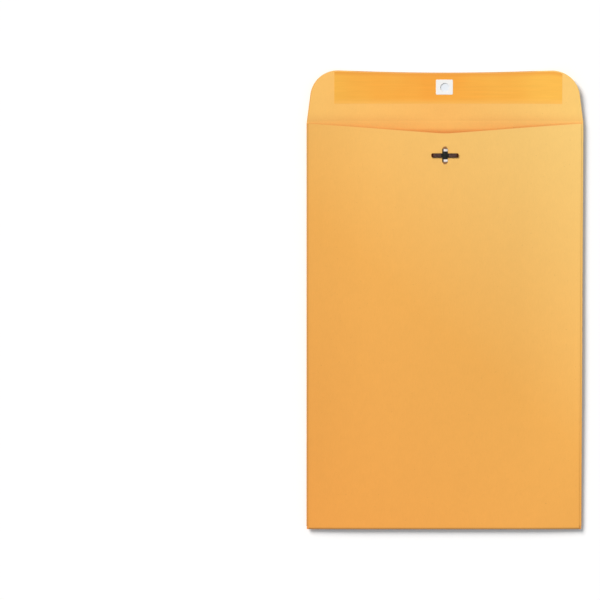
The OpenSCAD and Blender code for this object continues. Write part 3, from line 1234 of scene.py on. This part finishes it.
@dataclass
class Clasp:
    """The tinplate clasp: an anchor plate with a raised bridge, and two prongs that bend up."""

    sheet: FoldedSheet
    bridge_w: float = 4 * MM
    bridge_h: float = 0.9 * MM
    root_r: float = 0.3 * MM
    tin_t: float = 0.3 * MM
    gap: float = 0.1 * MM
    # The neck runs from the bridge over the prong's rolled root to its plate
    neck_from: float = 0.9 * MM
    neck_to: float = 3.5 * MM
    neck_w: float = 3.6 * MM
    neck_waist: float = 3.1 * MM
    neck_t: float = 0.14 * MM
    bend_from: float = 1.6 * MM
    bend_to: float = 3.2 * MM
    # Cells along the neck, and its lines across as shares of half its width
    cells: int = 18
    lines: tuple[float, ...] = (-1, -0.94, -0.5, 0, 0.5, 0.94, 1)
    # Tumbled edges: their radius, and the bend that counts as an edge
    edge_r: float = 0.05 * MM
    edge_angle: float = math.radians(40)
    weld: float = 0.001 * MM

    def __post_init__(self) -> None:
        """Work out the clasp's heights from the paper that carries it."""
        sheet = self.sheet
        seat = sheet.back_z + sheet.paper_t + sheet.gape * (1 - (sheet.seat_x / sheet.front_x) ** 2)
        self.plate_z = seat + self.tin_t
        self.root_x = self.bridge_w / 2 + self.gap + self.root_r
        self.root_z = self.plate_z + self.gap + self.root_r
        self.bridge_r = ((self.bridge_w / 2) ** 2 + self.bridge_h**2) / (2 * self.bridge_h)
        self.middle_y = sheet.clasp_y + sheet.shift_y

    def neck_height(self, x: float) -> float:
        """Give the height of the neck's upper face.

        Args:
            x: Distance from the clasp's middle.

        Returns:
            The height, from the bridge's flank over the root to the prong's plate.
        """
        bridge = self.plate_z + self.bridge_h - self.bridge_r
        bridge += math.sqrt(self.bridge_r**2 - self.neck_from**2)
        root = self.root_z + self.root_r
        plate = self.root_z + self.tin_t / 2
        if x < self.root_x:
            metal = mix(bridge, root, smooth(x, self.neck_from, self.root_x))
        else:
            metal = mix(root, plate, smooth(x, self.root_x, self.neck_to))
        # A quarter of the neck stands proud of the metal that it joins
        return metal + self.neck_t / 4

    def build_neck(self, side: Side) -> bpy.types.Object:
        """Make the strip of metal that joins the bridge to a prong.

        Args:
            side: The prong's side.

        Returns:
            The neck.
        """
        mesh = bmesh.new()
        rows = []
        for k in range(self.cells + 1):
            x = mix(self.neck_from, self.neck_to, k / self.cells)
            waist = math.sin(math.pi * k / self.cells) ** 2
            half = mix(self.neck_w, self.neck_waist, waist) / 2
            z = self.neck_height(x) - self.neck_t / 2
            spots = [(side.value * x, self.middle_y + half * share, z) for share in self.lines]
            rows.append([mesh.verts.new(spot) for spot in spots])
        for first, second in zip(rows, rows[1:]):
            for n in range(len(first) - 1):
                mesh.faces.new((first[n], second[n], second[n + 1], first[n + 1]))
        bmesh.ops.recalc_face_normals(mesh, faces=mesh.faces)
        name = side.name.lower()
        piece = new_piece(f"clasp_neck_{name}", mesh)
        thicken(piece, self.neck_t)
        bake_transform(piece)
        return piece

    def round_edges(self, node: bpy.types.Object) -> None:
        """Round a stamped piece's edges, as tumbling leaves them.

        Args:
            node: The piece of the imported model.
        """
        weld = node.modifiers.new("welded", "WELD")
        weld.merge_threshold = self.weld
        bevel = node.modifiers.new("tumbled edges", "BEVEL")
        bevel.width = self.edge_r
        bevel.segments = 2
        bevel.limit_method = "ANGLE"
        bevel.angle_limit = self.edge_angle
        bevel.harden_normals = True

    def dress(self, necks: list[bpy.types.Object]) -> None:
        """Give the clasp's pieces their metal.

        Args:
            necks: The two necks.
        """
        # The prongs are painted dark as dark reflection, a little lighter along their middle as a painted
        # highlight; the anchor shows tin's own colour only in a band and is painted dark at its middle, its
        # left flank and its tips, and the necks at the bend, as painted dark reflection and shade
        prong = Tinplate(
            "tinplate, stamped and browned by handling", "55403A", "4A3830", "4A2616", run="X",
            bright_to=10.6 * MM, bright_half=1.4 * MM, bright_shift=0.0,
        )
        anchor = Tinplate(
            "tinplate, stamped, painted dark off the plate", "EADFD8", "2C2D2A", "9C7048",
            bright_from=3.5 * MM, bright_to=6.2 * MM,
        )
        hub = Tinplate("tinplate, stamped, painted dark at the bend", "2C2D2A", "282925", "282925")
        finishes = {"clasp_anchor": anchor, "clasp_prong_left": prong, "clasp_prong_right": prong}
        for name, finish in finishes.items():
            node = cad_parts[name]
            material = finish.material(self.middle_y)
            for slot in node.material_slots:
                slot.link = "OBJECT"
                slot.material = material
            self.round_edges(node)
        bend = hub.material(self.middle_y)
        for neck in necks:
            paint(neck, [bend])


@dataclass
class Studio:
    """A white table under a soft key light from the upper left, seen from above."""

    # The camera looks down from the flap's end
    tilt: float = math.radians(9.7)
    distance: float = 9.0
    clip_end: float = 36.0
    aim_x: float = -133.0 * MM
    aim_y: float = 0.2 * MM
    frame_w: float = 552.4 * MM
    sensor_w: float = 36.0
    floor_w: float = 40.0
    floor_z: float = -0.05 * MM
    # The key light: where it stands over the table, how wide it looks and what it gives the table
    key_turn: float = math.radians(127)
    key_height: float = math.radians(35)
    key_angle: float = math.radians(30)
    key_share: float = 0.68
    world_share: float = 0.32
    # The key is a little warm and the room a little cool; together they are white on the table
    key_colour: str = "FFFBF8"
    room_colour: str = "F4FAFF"
    # The table's colour, and the glow that makes it white where it is seen
    floor_white: str = "F6F6F6"
    floor_glow: float = 0.09
    # Painted shade on the table where it shows through the flap's hole: its place, reach, soft edge and
    # colour
    hole_y: float = 198 * MM
    hole_r: float = 9 * MM
    hole_fade: float = 1 * MM
    hole_shade_colour: str = "DEE4EA"

    def build_camera(self) -> None:
        """Set up the camera as the photograph shows the envelope."""
        data = bpy.data.cameras.new("camera")
        data.sensor_width = self.sensor_w
        data.lens = self.sensor_w * self.distance / self.frame_w
        data.clip_end = self.clip_end
        camera = bpy.data.objects.new("camera", data)
        off, up = self.distance * math.sin(self.tilt), self.distance * math.cos(self.tilt)
        camera.location = (self.aim_x, self.aim_y + off, up)
        camera.rotation_euler = (-self.tilt, 0, 0)
        bpy.context.scene.collection.objects.link(camera)
        bpy.context.scene.camera = camera

    def build_key(self) -> None:
        """Hang the key light, whose width softens the shadows."""
        data = bpy.data.lights.new("key softbox", "SUN")
        data.angle = self.key_angle
        colour = linear(self.key_colour)
        data.color = colour[:3]
        data.energy = self.key_share * math.pi / math.sin(self.key_height) / colour[1]
        key = bpy.data.objects.new("key softbox", data)
        flat, up = math.cos(self.key_height), math.sin(self.key_height)
        towards = Vector((math.cos(self.key_turn) * flat, math.sin(self.key_turn) * flat, up))
        key.rotation_euler = towards.to_track_quat("Z", "Y").to_euler()
        bpy.context.scene.collection.objects.link(key)

    def seen_directly(self, add: Adder) -> Source:
        """Tell the rays that show the background from those that light the scene.

        Args:
            add: Adds a node to the table or the world.

        Returns:
            1 for what the camera, a gloss or a clear thing shows, else 0.
        """
        path = add("LightPath").outputs
        seen = path["Is Camera Ray"]
        for ray in ("Is Glossy Ray", "Is Transmission Ray"):
            seen = add("Math", {"operation": "MAXIMUM"}, {0: seen, 1: path[ray]})
        return seen

    def build_world(self) -> None:
        """Light the scene evenly from all round, with a white background."""
        world = bpy.data.worlds.new("white room")
        add = start_nodes(world)
        colour = linear(self.room_colour)
        room = add("Background", {"Color": colour, "Strength": self.world_share / colour[1]})
        seen = add("Background", {"Color": linear("FFFFFF")})
        light = add("MixShader", links={0: self.seen_directly(add), 1: room, 2: seen})
        add("OutputWorld", links={0: light})
        bpy.context.scene.world = world

    def build_floor(self) -> None:
        """Lay the table: white, with a painted shade under the flap's hole, and it keeps the envelope's
        shadow.
        """
        half = self.floor_w / 2
        mesh = bmesh.new()
        corners = [(-half, -half), (half, -half), (half, half), (-half, half)]
        mesh.faces.new([mesh.verts.new((x, y, self.floor_z)) for x, y in corners])
        floor = new_piece("table_top", mesh)
        material = bpy.data.materials.new("matt white table, painted")
        add = start_nodes(material)
        place = add("TexCoord").outputs["Object"]
        # Painted shade on the table under the flap's hole
        hole = (0, self.hole_y, self.floor_z)
        reach = add("VectorMath", {"operation": "DISTANCE", 1: hole}, {0: place})
        open_table = add(
            "MapRange", {"From Min": self.hole_r - self.hole_fade, "From Max": self.hole_r}, {0: reach}
        )
        white = add(
            "Mix", {"data_type": "RGBA", 6: linear(self.hole_shade_colour), 7: linear(self.floor_white)},
            {0: open_table},
        )
        matt = add("BsdfDiffuse", links={"Color": white})
        strength = add(
            "Math", {"operation": "MULTIPLY", 1: self.floor_glow}, {0: self.seen_directly(add)}
        )
        glow = add("Emission", {"Color": linear("FFFFFF")}, {"Strength": strength})
        both = add("AddShader", links={0: matt, 1: glow})
        add("OutputMaterial", links={0: both})
        paint(floor, [material])

    def build(self) -> None:
        """Set up the camera, the lights and the table."""
        self.build_camera()
        self.build_key()
        self.build_world()
        self.build_floor()
        bpy.context.scene.view_settings.view_transform = "Standard"


def report(piece: bpy.types.Object) -> None:
    """Log a finished piece with its number of faces."""
    LOG.info("%s: %d faces", piece.name, len(piece.data.polygons))


def main() -> None:
    """Build the studio and each piece of the envelope, in order."""
    logging.basicConfig(level=logging.INFO, format="%(name)s: %(message)s")
    Studio().build()
    LOG.info("studio: camera, key light, world and table")
    sheet = FoldedSheet()
    envelope = sheet.build()
    sheet.dress(envelope)
    report(envelope)
    for part in (FlapGum(sheet), HolePatch(sheet)):
        piece = part.build()
        part.dress(piece)
        report(piece)
    clasp = Clasp(sheet)
    necks = [clasp.build_neck(side) for side in Side]
    clasp.dress(necks)
    for neck in necks:
        report(neck)


if __name__ == "__main__":
    main()
